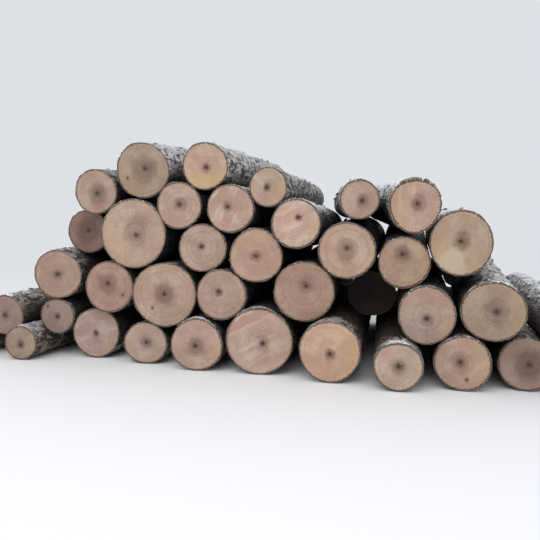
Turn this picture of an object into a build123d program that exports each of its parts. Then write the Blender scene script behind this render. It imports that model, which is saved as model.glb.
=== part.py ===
from build123d import *
import math
import os
from dataclasses import dataclass

import numpy as np

# A heap of freshly sawn birch logs, in millimetres.
# X runs along the heap, Y from the sawn top ends in front to the thicker butt ends behind, Z up.
# The origin is the middle of the heap's box, on the ground.
# Each log is a tapered stem whose section is a little oval or egg-shaped, and lies on the logs below it.

# Driving sizes. butt_drift is how far the first log's butt end lies right of its top end.
log_length = 3100.0
seat_clearance = 0.3
butt_drift = -114.0
shallow_lean = (45.0, 38.0)
steep_lean = (77.0, 77.0)

# Free ground between neighbours of the bottom row, at the top ends and at the butt ends.
# The first log has no neighbour, and its two values are where its ends lie.
bottom_gaps = {
    "side_log_2": (0.0, butt_drift),
    "side_log_1": (250.0, 215.0),
    "bottom_log_1": (210.0, 68.0),
    "bottom_log_2": (95.0, 15.0),
    "bottom_log_3": (75.0, 12.0),
    "bottom_log_4": (25.0, 45.0),
    "bottom_log_5": (52.0, 110.0),
    "bottom_log_6": (78.0, 30.0),
    "bottom_log_7": (58.0, 130.0),
    "bottom_log_8": (42.0, 25.0),
    "bottom_log_9": (170.0, 270.0),
}


@dataclass
class Log:
    """One log. Its top end faces the front and its butt end lies behind.

    setback is how far the top end lies behind the foremost plane of the heap. oval is the share by
    which the section is wider than round, or taller where it is negative. egg is the share by which
    it bulges at egg_turn degrees. seats are the logs that carry the front half and, unless
    butt_seats names others, the back half. side_gap is the daylight that the log leaves to its second
    seat in the front half. lean holds the angles from level at which the front half and the back half
    lie against their seat where they have only one.
    """

    name: str
    top_diameter: float
    butt_diameter: float
    setback: float
    seats: tuple = ()
    butt_seats: tuple = ()
    side_gap: float = seat_clearance
    lean: tuple = shallow_lean
    oval: float = 0.0
    egg: float = 0.0
    egg_turn: float = 0.0


# The logs in the order in which they are laid, so that what carries a log comes before it
heap = [
    Log("side_log_2", 290, 348, 240),
    Log("side_log_1", 290, 349, 370, oval=0.01),
    Log("bottom_log_1", 425, 498, 580, oval=-0.01, egg=0.010, egg_turn=40),
    Log("bottom_log_2", 360, 427, 460, oval=0.035, egg=0.012, egg_turn=200),
    Log("bottom_log_3", 415, 494, 320, oval=0.01, egg=0.010, egg_turn=90),
    Log("bottom_log_4", 510, 593, 300, oval=0.012, egg=0.008, egg_turn=10),
    Log("bottom_log_5", 445, 560, 170, egg=0.012, egg_turn=150),
    Log("bottom_log_6", 335, 440, 40, oval=0.008, egg=0.015, egg_turn=270),
    Log("bottom_log_7", 380, 495, 150, egg=0.014, egg_turn=60),
    Log("bottom_log_8", 370, 446, 240, oval=-0.015, egg=0.010, egg_turn=330),
    Log("bottom_log_9", 380, 456, 350, oval=0.015, egg=0.012, egg_turn=120),
    Log("low_log_1", 355, 426, 560, seats=("side_log_2", "side_log_1"), side_gap=6, egg=0.012, egg_turn=90),
    Log("low_log_2", 310, 372, 550, seats=("side_log_1", "bottom_log_1"), egg=0.014, egg_turn=150),
    Log("low_log_5", 525, 577, 420, seats=("bottom_log_2", "bottom_log_3"), oval=0.01, egg=0.01, egg_turn=45),
    Log("low_log_4", 425, 497, 490, seats=("bottom_log_1", "low_log_5"), side_gap=14, oval=-0.015, egg=0.01),
    Log("low_log_3", 425, 506, 510, seats=("low_log_2", "low_log_4"), side_gap=30, oval=0.012, egg=0.01),
    Log("low_log_6", 400, 466, 370, seats=("bottom_log_4", "bottom_log_3"), side_gap=9, egg=0.012),
    Log("low_log_7", 455, 565, 310, seats=("bottom_log_5", "bottom_log_4"), side_gap=12, oval=0.01),
    Log("low_log_8", 405, 535, 200, seats=("bottom_log_6", "bottom_log_7"), oval=-0.03, egg=0.01),
    Log("low_log_9", 415, 545, 150, seats=("bottom_log_7", "bottom_log_8"), side_gap=16, oval=0.025),
    Log("low_log_10", 345, 414, 130, seats=("bottom_log_8", "bottom_log_9"), egg=0.015, egg_turn=90),
    Log("high_log_2", 560, 612, 460, seats=("low_log_4", "low_log_5"), side_gap=8, oval=-0.01),
    Log("high_log_1", 380, 452, 680, seats=("low_log_3", "high_log_2"), side_gap=16, egg=0.01),
    Log("high_log_3", 385, 475, 400, seats=("low_log_6", "low_log_5"), side_gap=18, oval=0.01, egg=0.012),
    Log("high_log_4", 415, 471, 350, seats=("low_log_6", "low_log_7"), side_gap=6, egg=0.025, egg_turn=90),
    Log("high_log_6", 415, 565, 260, seats=("low_log_7",), oval=0.01, egg=0.01),
    Log("high_log_7", 365, 480, 220, seats=("low_log_8", "high_log_6"), side_gap=4, oval=-0.01, egg=0.01),
    Log("high_log_8", 435, 560, 190, seats=("high_log_7", "low_log_9"), side_gap=38, oval=-0.04),
    Log("upper_log_1", 370, 443, 400, seats=("high_log_2", "high_log_3"), oval=-0.01, egg=0.01),
    Log("upper_log_2", 375, 452, 360, seats=("high_log_3", "high_log_4"), side_gap=8, egg=0.01),
    Log(
        "upper_log_3",
        370,
        444,
        290,
        seats=("high_log_4", "high_log_6"),
        butt_seats=("high_log_4", "low_log_7"),
        side_gap=11,
        oval=0.006,
    ),
    Log("top_log_1", 375, 446, 490, seats=("high_log_1", "high_log_2"), side_gap=4, egg=0.01),
    Log(
        "top_log_2",
        450,
        530,
        450,
        seats=("high_log_2", "upper_log_1"),
        butt_seats=("top_log_1", "upper_log_1"),
        side_gap=3,
        egg=0.012,
        egg_turn=120,
    ),
    Log("top_log_3", 370, 450, 380, seats=("upper_log_1", "upper_log_2"), side_gap=6, egg=0.01),
    Log("top_log_4", 300, 394, 330, seats=("upper_log_2", "upper_log_3"), side_gap=6, oval=-0.02),
    Log(
        "top_log_5",
        290,
        366,
        250,
        seats=("high_log_6",),
        butt_seats=("upper_log_3", "high_log_6"),
        lean=steep_lean,
        egg=0.01,
    ),
    Log(
        "top_log_6",
        360,
        426,
        160,
        seats=("high_log_7", "high_log_8"),
        butt_seats=("top_log_5", "high_log_6"),
        oval=-0.025,
        egg=0.035,
        egg_turn=270,
    ),
]
stems = {log.name: log for log in heap}

# Round the bark, each section is drawn with this many flats, which keeps the long sides of a stem flat
flats = 36
flat_angles = np.linspace(0.0, 2.0 * math.pi, flats, endpoint=False)

# The seats are found in planes across the heap, in the front half and in the back half of each log
stations_per_half = 8
end_margin = 45.0
seating_rounds = 14


def share_at(log, y):
    """How far along the log the plane at y lies: 0 at the top end, 1 at the butt end."""
    return (y - log.setback) / log_length


def mean_radius(log, share):
    """Radius of the round stem that the section departs from."""
    return (log.top_diameter + share * (log.butt_diameter - log.top_diameter)) / 2.0


def section(log, share):
    """Corners of the log's section round its heart, an oval with a slight egg-shaped bulge."""
    wide = log.oval * np.cos(2.0 * flat_angles)
    bulge = log.egg * np.cos(3.0 * (flat_angles - math.radians(log.egg_turn)))
    radius = mean_radius(log, share)
    radius = radius + radius * (wide + bulge)
    return np.column_stack((radius * np.cos(flat_angles), radius * np.sin(flat_angles)))


def heart_at(log, share):
    """X and Z of the log's middle."""
    return log.top + share * (log.butt - log.top)


def facing_gap(corners, others):
    """Widest daylight that any flat of one section has in front of the other section, and its direction."""
    along = np.roll(corners, -1, axis=0) - corners
    outward = np.column_stack((along[:, 1], -along[:, 0])) / np.hypot(along[:, 0], along[:, 1])[:, None]
    depth = others @ outward.T - (corners * outward).sum(axis=1)
    nearest = depth.min(axis=0)
    flat = np.argmax(nearest)
    return nearest[flat], outward[flat]


def gap_at(log, other, y):
    """Daylight between two logs in the plane at y, below zero for an overlap, and the way that opens it."""
    own = section(log, share_at(log, y)) + heart_at(log, share_at(log, y))
    its = section(other, share_at(other, y)) + heart_at(other, share_at(other, y))
    from_own, own_way = facing_gap(own, its)
    from_its, its_way = facing_gap(its, own)
    if from_own > from_its:
        return from_own, -own_way
    return from_its, its_way


def lie_on_ground(log, neighbour):
    """Place a log of the bottom row on the ground, beside its left neighbour."""
    ends = []
    for share, free in zip((0.0, 1.0), bottom_gaps[log.name]):
        corners = section(log, share)
        x = free
        if neighbour is not None:
            across = share_at(neighbour, log.setback + share * log_length)
            right_side = heart_at(neighbour, across)[0] + section(neighbour, across)[:, 0].max()
            x = right_side + free - corners[:, 0].min()
        ends.append(np.array([x, -corners[:, 1].min()]))
    log.top, log.butt = ends


def lean_direction(log, half):
    """Way from the heart of a half's one seat to its own heart."""
    angle = math.radians(log.lean[half])
    return np.array([math.cos(angle), math.sin(angle)])


def first_guess(log, carriers, share):
    """Heart of a round stem that touches one carrier at its angle of lean, or two from above."""
    y = log.setback + share * log_length
    hearts = [heart_at(other, share_at(other, y)) for other in carriers]
    spans = [mean_radius(other, share_at(other, y)) + mean_radius(log, share) for other in carriers]
    if len(carriers) == 1:
        return hearts[0] + lean_direction(log, int(share)) * spans[0]
    base = math.dist(*hearts)
    along = (spans[0] ** 2 - spans[1] ** 2 + base**2) / (2.0 * base)
    up = math.sqrt(max(spans[0] ** 2 - along**2, 0.0))
    direction = (hearts[1] - hearts[0]) / base
    normal = np.array([-direction[1], direction[0]])
    if normal[1] < 0.0:
        normal = -normal
    return hearts[0] + along * direction + up * normal


def stations(log, other, half):
    """Planes across the heap in which both logs have wood, in the front or the back half."""
    start = max(log.setback, other.setback) - end_margin
    end = min(log.setback, other.setback) + log_length + end_margin
    planes = np.linspace(start, end, 2 * stations_per_half)
    if half == 0:
        return planes[:stations_per_half]
    return planes[stations_per_half:]


def tightest_spot(log, other, half):
    """Least daylight between two logs in one half, the way that opens it and how far along it lies."""
    spots = [(*gap_at(log, other, y), share_at(log, y)) for y in stations(log, other, half)]
    return min(spots, key=lambda spot: spot[0])


def misses_of(log, carriers, half):
    """For one half: which moves of the top and butt hearts count, and how far each is still off."""
    rows = []
    for rank, other in enumerate(carriers):
        gap, push, share = tightest_spot(log, other, half)
        wanted = log.side_gap if rank == 1 and half == 0 else seat_clearance
        rows.append(([*(push * (1.0 - share)), *(push * share)], wanted - gap))
    if len(carriers) == 1:
        heart = heart_at(carriers[0], share_at(carriers[0], log.setback + half * log_length))
        across = lean_direction(log, half)[::-1] * (-1.0, 1.0)
        sideways = (heart_at(log, half) - heart) @ across
        rows.append(([*(across * (1 - half)), *(across * half)], -sideways))
    return rows


def seat(log):
    """Lay a log on its seats, so that its tightest spots in both halves just clear them."""
    front = [stems[name] for name in log.seats]
    back = [stems[name] for name in log.butt_seats or log.seats]
    log.top = first_guess(log, front, 0.0)
    log.butt = first_guess(log, back, 1.0)
    for _ in range(seating_rounds):
        rows = misses_of(log, front, 0) + misses_of(log, back, 1)
        moves = np.array([move for move, miss in rows])
        misses = np.array([miss for move, miss in rows])
        shift = np.linalg.lstsq(moves, misses, rcond=None)[0]
        log.top = log.top + shift[:2]
        log.butt = log.butt + shift[2:]


def lay_heap():
    """Find the place of every log."""
    neighbour = None
    for log in heap:
        if log.name in bottom_gaps:
            lie_on_ground(log, neighbour)
            neighbour = log
        else:
            seat(log)


def end_plane(log, share):
    """Upright plane across the heap at the log's heart, looking out of the front of the heap."""
    x, z = heart_at(log, share)
    return Plane(origin=(x, log.setback + share * log_length, z), x_dir=(1, 0, 0), z_dir=(0, -1, 0))


def build_log(log):
    """Loft the stem from section to section, then saw both ends square to its heart."""
    slant = math.dist(log.top, log.butt) / log_length
    beyond = slant * log.butt_diameter / log_length
    grain = Vector(log.butt[0] - log.top[0], log_length, log.butt[1] - log.top[1])
    with BuildPart() as stem:
        for share in (-beyond, 1.0 + beyond):
            with BuildSketch(end_plane(log, share)):
                Polygon(*[tuple(corner) for corner in section(log, share)], align=None)
        loft(ruled=True)
        split(bisect_by=Plane(origin=end_plane(log, 0.0).origin, z_dir=grain), keep=Keep.TOP)
        split(bisect_by=Plane(origin=end_plane(log, 1.0).origin, z_dir=grain), keep=Keep.BOTTOM)
    stem.part.label = log.name
    return stem


lay_heap()
logs = [build_log(log) for log in heap]

# The heap's box is brought over the origin, with the bottom row on the ground
boxes = [stem.part.bounding_box() for stem in logs]
middle_x = (min(box.min.X for box in boxes) + max(box.max.X for box in boxes)) / 2.0
middle_y = (min(box.min.Y for box in boxes) + max(box.max.Y for box in boxes)) / 2.0
to_origin = Location((-middle_x, -middle_y, 0.0))

os.makedirs("parts", exist_ok=True)
for stem in logs:
    stem.part.move(to_origin)
    export_step(stem.part, f"parts/{stem.part.label}.step")
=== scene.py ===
# %% [markdown]
# # A heap of sawn birch logs
#
# The real object is a heap of round birch stems, bark on, sawn square at both ends and left in the
# yard in winter. The solids give each stem its place, its taper and its slightly uneven section.
# This script dresses them: bark with its relief, sawn wood on the ends, and a little snow on top.

# %% Load the solids
import math
from dataclasses import dataclass, replace

import bpy
import numpy as np
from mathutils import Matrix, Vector
from mathutils.bvhtree import BVHTree


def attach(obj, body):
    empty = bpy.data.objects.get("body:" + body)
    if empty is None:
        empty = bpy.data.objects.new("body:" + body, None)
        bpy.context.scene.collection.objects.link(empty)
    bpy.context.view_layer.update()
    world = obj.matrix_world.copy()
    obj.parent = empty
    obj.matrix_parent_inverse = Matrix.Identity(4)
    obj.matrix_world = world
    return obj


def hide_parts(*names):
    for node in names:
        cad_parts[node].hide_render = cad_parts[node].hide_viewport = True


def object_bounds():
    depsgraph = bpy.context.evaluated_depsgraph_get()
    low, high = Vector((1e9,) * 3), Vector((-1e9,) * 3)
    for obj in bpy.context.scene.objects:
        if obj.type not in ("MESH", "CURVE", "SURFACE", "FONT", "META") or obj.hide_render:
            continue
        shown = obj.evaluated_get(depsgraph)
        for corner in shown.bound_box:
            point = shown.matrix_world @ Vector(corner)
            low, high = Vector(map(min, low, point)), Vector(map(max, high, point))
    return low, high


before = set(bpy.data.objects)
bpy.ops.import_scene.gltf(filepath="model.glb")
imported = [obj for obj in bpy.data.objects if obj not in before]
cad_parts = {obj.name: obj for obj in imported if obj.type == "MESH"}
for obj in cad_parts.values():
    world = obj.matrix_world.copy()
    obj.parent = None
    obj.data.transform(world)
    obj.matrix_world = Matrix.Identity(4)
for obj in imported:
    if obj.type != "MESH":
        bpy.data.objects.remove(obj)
cad_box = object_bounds()
print("stems in the heap:", len(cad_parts))

# %% [markdown]
# ## Small tools for node trees
#
# Materials and Geometry Nodes are both graphs of nodes. Written link by link, even a short formula
# takes a page. So one small class wraps a socket and gives it the usual operators: `a * b + 1` then
# adds the Math nodes by itself. Another holds the tree, and one method of it makes any other node.


# %% A socket that can be used in formulas
class Field:
    """A number, colour or vector that a node gives, for use in expressions."""

    def __init__(self, graph, socket):
        self.graph = graph
        self.socket = socket

    def math(self, operation, *others):
        inputs = dict(enumerate((self, *others)))
        return self.graph.node("ShaderNodeMath", {"operation": operation}, inputs)

    def __add__(self, other):
        return self.math("ADD", other)

    def __sub__(self, other):
        return self.math("SUBTRACT", other)

    def __rsub__(self, other):
        return self.graph.node("ShaderNodeMath", {"operation": "SUBTRACT"}, {0: other, 1: self})

    def __mul__(self, other):
        return self.math("MULTIPLY", other)

    def __truediv__(self, other):
        return self.math("DIVIDE", other)

    def __pow__(self, other):
        return self.math("POWER", other)

    def smaller(self, other):
        return self.math("MINIMUM", other)

    def larger(self, other):
        return self.math("MAXIMUM", other)

    def size(self):
        return self.math("ABSOLUTE")

    __radd__ = __add__
    __rmul__ = __mul__


# %% A node tree that is filled by formulas
class Graph:
    """A node tree with one method that makes any node."""

    def __init__(self, tree):
        self.tree = tree

    def node(self, kind, settings, inputs, output=0):
        made = self.tree.nodes.new(kind)
        for key, value in settings.items():
            if key == "stops":
                self.set_stops(made.color_ramp, value)
            else:
                setattr(made, key, value)
        for key, value in inputs.items():
            self.feed(made.inputs[key], value)
        return Field(self, made.outputs[output]) if made.outputs else None

    def feed(self, socket, value):
        if isinstance(value, Field):
            self.tree.links.new(value.socket, socket)
        else:
            socket.default_value = value

    def set_stops(self, ramp, stops):
        while len(ramp.elements) < len(stops):
            ramp.elements.new(0.5)
        for element, (position, level) in zip(ramp.elements, stops):
            element.position = position
            element.color = (level, level, level, 1.0)

    def ease(self, value, low, high):
        """0 below low and 1 above high, with a smooth rise between them."""
        settings = {"interpolation_type": "SMOOTHSTEP"}
        inputs = {"Value": value, "From Min": low, "From Max": high}
        return self.node("ShaderNodeMapRange", settings, inputs)

    def noise(self, place, scale, detail=2.0, rough=0.5, warp=0.0):
        inputs = {"Vector": place, "Scale": scale, "Detail": detail, "Roughness": rough, "Distortion": warp}
        return self.node("ShaderNodeTexNoise", {}, inputs)

    def stretch(self, place, factors):
        return self.node("ShaderNodeVectorMath", {"operation": "MULTIPLY"}, {0: place, 1: factors})

    def split(self, vector):
        return [self.node("ShaderNodeSeparateXYZ", {}, {0: vector}, axis) for axis in range(3)]

    def join(self, x, y, z):
        return self.node("ShaderNodeCombineXYZ", {}, {0: x, 1: y, 2: z})

    def bands(self, value, detail=1.0, rough=0.5):
        """Noise of a single number, which makes stripes or rings."""
        inputs = {"W": value, "Scale": 1.0, "Detail": detail, "Roughness": rough}
        return self.node("ShaderNodeTexNoise", {"noise_dimensions": "1D"}, inputs)


# %% A material's graph
class Finish(Graph):
    """The graph of one material, with its colours mixed by name."""

    def __init__(self, name):
        self.material = bpy.data.materials.new(name)
        self.material.use_nodes = True
        self.material.node_tree.nodes.clear()
        super().__init__(self.material.node_tree)

    def attribute(self, name, output="Fac"):
        return self.node("ShaderNodeAttribute", {"attribute_name": name}, {}, output)

    def mix(self, share, first, second):
        """From the first colour to the second, as share goes from 0 to 1."""
        colours = [c if isinstance(c, Field) else (*c, 1.0) for c in (first, second)]
        inputs = {0: share, 6: colours[0], 7: colours[1]}
        return self.node("ShaderNodeMix", {"data_type": "RGBA"}, inputs, 2)

    def surface(self, colour, roughness, height, lift):
        """Finishes the material. height is 0 to 1 and lift is how many metres that stands for."""
        bump = self.node("ShaderNodeBump", {}, {"Height": height, "Distance": lift, "Strength": 1.0})
        inputs = {"Base Color": colour, "Roughness": roughness, "Normal": bump}
        shader = self.node("ShaderNodeBsdfPrincipled", {}, inputs)
        self.node("ShaderNodeOutputMaterial", {}, {"Surface": shader})
        return self.material


print("helpers for node trees are ready")

# %% [markdown]
# ## Camera
#
# The heap is seen from about a metre above the ground, from a little to its right, looking slightly
# to the left and down. A moderate wide lens makes the ends of the far logs only a little smaller.

# %% Camera
eye = Vector((0.573, -5.388, 0.958))
turn_left = math.radians(10.23)
look_down = math.radians(2.54)
roll = math.radians(-0.56)

lens = bpy.data.cameras.new("camera")
lens.lens = 34.6
lens.sensor_width = 36.0
camera = bpy.data.objects.new("camera", lens)
camera.location = eye
camera.rotation_euler = (math.pi / 2.0 - look_down, roll, turn_left)
bpy.context.scene.collection.objects.link(camera)
bpy.context.scene.camera = camera
bpy.context.scene.view_settings.view_transform = "Standard"
print("the camera stands at", tuple(eye))

# %% [markdown]
# ## Reading a stem from its solid
#
# Each solid is a tapered prism with a sawn face at both ends, and its corners all lie on those two
# faces. Their distances from the heart say how oval or egg-shaped the stem is. A short Fourier
# series through them gives the same outline at any angle, so the dressed log can be much finer
# than the solid and still lie in the same place.

# %% Outline of a sawn face
outline_waves = 5
end_share = 0.1


class Stem:
    """A log's heart, outline and grain, between the hearts of its two ends."""

    def __init__(self, name, ends):
        self.name = name
        self.ends = [np.array(end) for end in ends]
        run = self.ends[1] - self.ends[0]
        self.length = np.linalg.norm(run)
        self.grain = run / self.length
        self.right = np.cross(self.grain, (0.0, 0.0, 1.0))
        self.right /= np.linalg.norm(self.right)
        self.up = np.cross(self.right, self.grain)

    def set_waves(self, waves):
        self.waves = waves
        self.radius = [abs(terms[0]) for terms in waves]
        return self

    def read_waves(self, face, heart):
        """Fourier terms of the outline's radius."""
        across = (face - heart) @ self.right
        above = (face - heart) @ self.up
        order = np.argsort(np.arctan2(above, across))
        turn = np.arctan2(above, across)[order]
        reach = np.hypot(across, above)[order]
        columns = [np.exp(1j * k * turn) for k in range(-outline_waves, outline_waves + 1)]
        terms = np.linalg.lstsq(np.column_stack(columns), reach.astype(complex), rcond=None)[0]
        return [terms[outline_waves + k] for k in range(outline_waves + 1)]

    def outline(self, turn, share):
        """Radius of the stem at an angle, that share of the way from the top end to the butt end."""
        ends = []
        for waves in self.waves:
            radius = np.full(turn.shape, waves[0].real)
            for k in range(1, outline_waves + 1):
                radius = radius + 2.0 * (waves[k] * np.exp(1j * k * turn)).real
            ends.append(radius)
        return ends[0] * (1.0 - share) + ends[1] * share

    def outward(self, turn):
        """Directions away from the heart at the given angles."""
        return np.multiply.outer(np.cos(turn), self.right) + np.multiply.outer(np.sin(turn), self.up)

    def at(self, turn, share, reach):
        """Points at an angle and a share of the length, at a given distance from the heart."""
        heart = self.ends[0] + np.multiply.outer(share, self.ends[1] - self.ends[0])
        return heart + self.outward(turn) * reach[..., None]


def read_stem(name, solid):
    """The stem that a solid stands for."""
    corners = np.array([corner.co for corner in solid.data.vertices])
    low, high = corners[:, 1].min(), corners[:, 1].max()
    reach = end_share * (high - low)
    faces = [corners[corners[:, 1] < low + reach], corners[corners[:, 1] > high - reach]]
    faces = [np.unique(np.round(face, 5), axis=0) for face in faces]
    stem = Stem(name, [face.mean(axis=0) for face in faces])
    return stem.set_waves([stem.read_waves(face, end) for face, end in zip(faces, stem.ends)])


stems = {name: read_stem(name, solid) for name, solid in sorted(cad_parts.items())}
for stem in stems.values():
    print(f"{stem.name}: {2e3 * stem.radius[0]:.0f} mm at the top, {2e3 * stem.radius[1]:.0f} mm at the butt")

# %% [markdown]
# ## Shorter pieces inside the heap
#
# The hollows between the right-hand logs are black from in front, so something deep inside stops the
# light. What it is can't be seen: a log, a pole and two sticks are a guess. They have no solids of
# their own, so their ends and thickness are written here, each as thick as its hollow lets it be.

# %% Inner log, pole and sticks
inner_sizes = {
    "inner_log": (((0.645, -1.0, 0.579), (0.779, 1.5, 0.648)), (0.194, 0.202)),
    "inner_pole": (((1.283, -1.0, 0.724), (1.549, 1.3, 0.795)), (0.065, 0.065)),
    "inner_stick_1": (((1.177, -1.1, 0.771), (1.454, 1.2, 0.847)), (0.033, 0.033)),
    "inner_stick_2": (((0.424, -1.1, 0.695), (0.456, 0.9, 0.649)), (0.046, 0.046)),
}
inner_oval, inner_egg = 0.012, 0.008
for name, (ends, radii) in inner_sizes.items():
    waves = [(r + 0j, 0j, inner_oval * r, inner_egg * 1j * r, 0j, 0j) for r in radii]
    stems[name] = Stem(name, ends).set_waves(waves)
print("pieces inside the heap:", ", ".join(inner_sizes))

# %% [markdown]
# ## What sets one log apart
#
# No two logs in a heap are alike. The pith sits off the middle, the heart is small or wide, pale
# streaks cross some faces, and a branch that was cut inside the stem leaves a knot. These habits are
# written once for each log, as shares of its radius to the right and up, and the mesh, the relief
# and the finishes all read them.


# %% Habits of a log
@dataclass
class Habit:
    """How one log differs from a plain one."""

    tone: tuple = (1.0, 0.97, 0.95)
    butt_tone: tuple = ()
    pith: tuple = (0.0, 0.0)
    heart: tuple = (0.3, 0.45)
    heart_shift: tuple = (0.0, 0.0)
    knots: tuple = ()
    streaks: tuple = (0.0, 0.0)
    gold: tuple = (0.0, 0.0)
    wedge: tuple = ()
    star: float = 0.5
    check: tuple = ()
    bark: str = "grey"
    snow: float = 0.33
    snow_depth: float = 0.006


# The front ends of the inner pieces are coloured for the dark they lie in, and not for their wood
unlit_wood = (0.14, 0.14, 0.15)
inner_butt = (0.90, 0.88, 0.86)
habits = {
    "top_log_1": Habit((0.96, 0.95, 0.94), pith=(0.06, -0.08), heart=(0.45, 0.75), bark="olive", snow=0.25),
    "top_log_2": Habit(
        (0.86, 0.88, 0.84), pith=(0.10, 0.08), heart=(0.50, 0.60), knots=((-0.58, -0.26),),
        gold=(200, 0.2), bark="white", snow=0.3,
    ),
    "top_log_3": Habit(
        (1.14, 1.14, 1.05), pith=(0.05, -0.04), heart=(0.24, 0.60), gold=(275, 0.7), bark="white",
        snow=0.3,
    ),
    "top_log_4": Habit(
        (1.00, 1.02, 0.97), pith=(-0.09, -0.02), heart=(0.24, 0.5), streaks=(-50, 0.45), gold=(-30, 0.3),
        bark="speckled", snow=0.28,
    ),
    "top_log_5": Habit((1.00, 0.97, 0.95), pith=(0.12, -0.07), heart=(0.36, 0.6), bark="speckled", snow=0.3),
    "top_log_6": Habit(
        (1.03, 0.98, 0.95), pith=(0.05, 0.09), heart=(0.34, 0.6), streaks=(90, 0.45), gold=(190, 0.45),
        bark="white", snow=0.45, snow_depth=0.02,
    ),
    # This face is darker partly in its own wood and partly as painted shade, for its place set back under the
    # top row
    "high_log_1": Habit((0.66, 0.60, 0.58), pith=(0.02, 0.05), heart=(0.60, 0.75), bark="olive"),
    "high_log_2": Habit(
        (1.08, 1.09, 1.08), pith=(0.08, -0.03), heart=(0.42, 0.55), heart_shift=(0.0, 0.18),
        gold=(205, 0.3), snow=0.45,
    ),
    "high_log_3": Habit((0.97, 0.95, 0.94), pith=(-0.05, 0.05), heart=(0.20, 0.4), check=((90, 0.5),)),
    "high_log_4": Habit(
        (1.05, 1.01, 0.97), pith=(0.0, -0.01), heart=(0.20, 0.45), gold=(120, 0.25), star=0.1, snow=0.5,
    ),
    "high_log_6": Habit((1.07, 1.05, 1.00), pith=(0.0, 0.10), heart=(0.42, 0.65), heart_shift=(0.0, -0.06)),
    "high_log_7": Habit(
        (0.90, 0.87, 0.78), pith=(-0.07, 0.33), heart=(0.36, 0.65), heart_shift=(-0.02, 0.05), star=0.7,
    ),
    "high_log_8": Habit(
        (0.97, 0.99, 0.92), pith=(0.0, 0.06), heart=(0.30, 0.7), gold=(235, 0.5), wedge=(250, 24, 0.5),
        bark="white", snow=0.42,
    ),
    "upper_log_1": Habit((1.05, 1.02, 0.99), pith=(0.02, 0.07), heart=(0.32, 0.6)),
    "upper_log_2": Habit(
        (1.05, 1.04, 1.01), pith=(-0.12, 0.08), heart=(0.24, 0.55), streaks=(58, 0.8), bark="white",
    ),
    "upper_log_3": Habit(
        (1.20, 1.21, 1.18), pith=(0.10, 0.26), heart=(0.14, 0.35), streaks=(24, 0.6), bark="white",
        snow=0.5, snow_depth=0.009,
    ),
    "low_log_1": Habit((0.80, 0.80, 0.80), bark="olive"),
    "low_log_2": Habit(
        (0.72, 0.73, 0.75), pith=(0.0, -0.02), heart=(0.22, 0.45), knots=((-0.54, 0.53),), bark="brown",
    ),
    "low_log_3": Habit((0.93, 0.92, 0.91), pith=(0.0, 0.0), heart=(0.24, 0.4)),
    "low_log_4": Habit((0.93, 0.85, 0.84), pith=(-0.05, 0.15), heart=(0.46, 0.55), knots=((0.53, -0.30),)),
    "low_log_5": Habit((1.05, 1.05, 1.01), pith=(0.0, 0.03), heart=(0.38, 0.75), knots=((-0.38, -0.40),)),
    "low_log_6": Habit((0.99, 0.96, 0.96), pith=(-0.10, 0.12), heart=(0.20, 0.45)),
    "low_log_7": Habit((0.90, 0.83, 0.79), pith=(0.07, 0.20), heart=(0.28, 0.45)),
    "low_log_8": Habit(
        (0.95, 0.96, 0.95), pith=(0.0, -0.11), heart=(0.24, 0.5), check=((272, 0.95),), bark="brown",
        snow=0.45,
    ),
    "low_log_9": Habit(
        (0.84, 0.86, 0.82), pith=(0.08, 0.0), heart=(0.42, 0.55), gold=(0, 0.2), bark="white", snow=0.45,
    ),
    "bottom_log_1": Habit((0.98, 0.97, 0.99), pith=(0.0, -0.02), heart=(0.20, 0.4), streaks=(20, 0.5)),
    "bottom_log_2": Habit((1.06, 1.07, 1.08), pith=(0.05, 0.02), heart=(0.34, 0.55)),
    "bottom_log_3": Habit((1.08, 1.05, 1.04), pith=(-0.05, -0.05), heart=(0.38, 0.6), snow=0.5),
    "bottom_log_4": Habit(
        (1.08, 1.04, 1.04), pith=(0.12, -0.05), heart=(0.24, 0.45), streaks=(28, 0.9), snow=0.6,
        snow_depth=0.012,
    ),
    "bottom_log_5": Habit(
        (1.24, 1.16, 1.06), pith=(0.0, -0.07), heart=(0.20, 0.5), gold=(0, 0.25), star=0.6, bark="brown",
        snow=0.4,
    ),
    "bottom_log_6": Habit(
        (1.12, 1.18, 1.15), pith=(0.02, 0.03), heart=(0.30, 0.65), star=0.9, bark="brown", snow=0.42,
    ),
    "bottom_log_7": Habit(
        (0.98, 0.95, 0.93), pith=(-0.08, 0.03), heart=(0.36, 0.6), knots=((0.15, -0.57),),
        streaks=(40, 0.35), gold=(10, 0.35),
    ),
    "bottom_log_8": Habit((0.78, 0.77, 0.77), pith=(0.10, 0.0), heart=(0.58, 0.8), bark="brown"),
    "side_log_1": Habit((0.80, 0.82, 0.78), pith=(0.0, -0.10), heart=(0.30, 0.5), bark="brown"),
}
# The inner pieces' bark is painted shade too, near black for the dark inside the heap
inner_habit = Habit(unlit_wood, inner_butt, bark="damp", snow=0.0)
habits.update(dict.fromkeys(inner_sizes, inner_habit))
habit_of = {name: habits.get(name, Habit()) for name in stems}
print("logs with a knot:", sum(bool(habit.knots) for habit in habit_of.values()))

# %% [markdown]
# ## Open air round each stem
#
# Snow lies only where the open sky looks straight at the bark, and bark deep inside the heap is
# painted dark as shade. From a coarse net of points on every stem, a few rays go up and a few go outwards.
# The shares that meet no other stem are stored on the mesh later, for the relief and the finishes.

# %% Open sky and open air over each stem
net_turns = 24
net_steps = 28
net_crowding = 0.75
sky_ways = ((0, 0, 1), (0.5, 0, 1), (-0.5, 0, 1), (0, 0.5, 1), (0, -0.7, 1), (0.9, -0.4, 1), (-0.9, -0.4, 1))
sky_rays = [Vector(way).normalized() for way in sky_ways]
air_rays = ((0, 0), (1, 0), (-1, 0), (0, 1), (0, -1), (2.5, -1), (-2.5, -1))
air_reach = 2.5
sky_reach = 20.0
ray_start = 0.006

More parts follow.
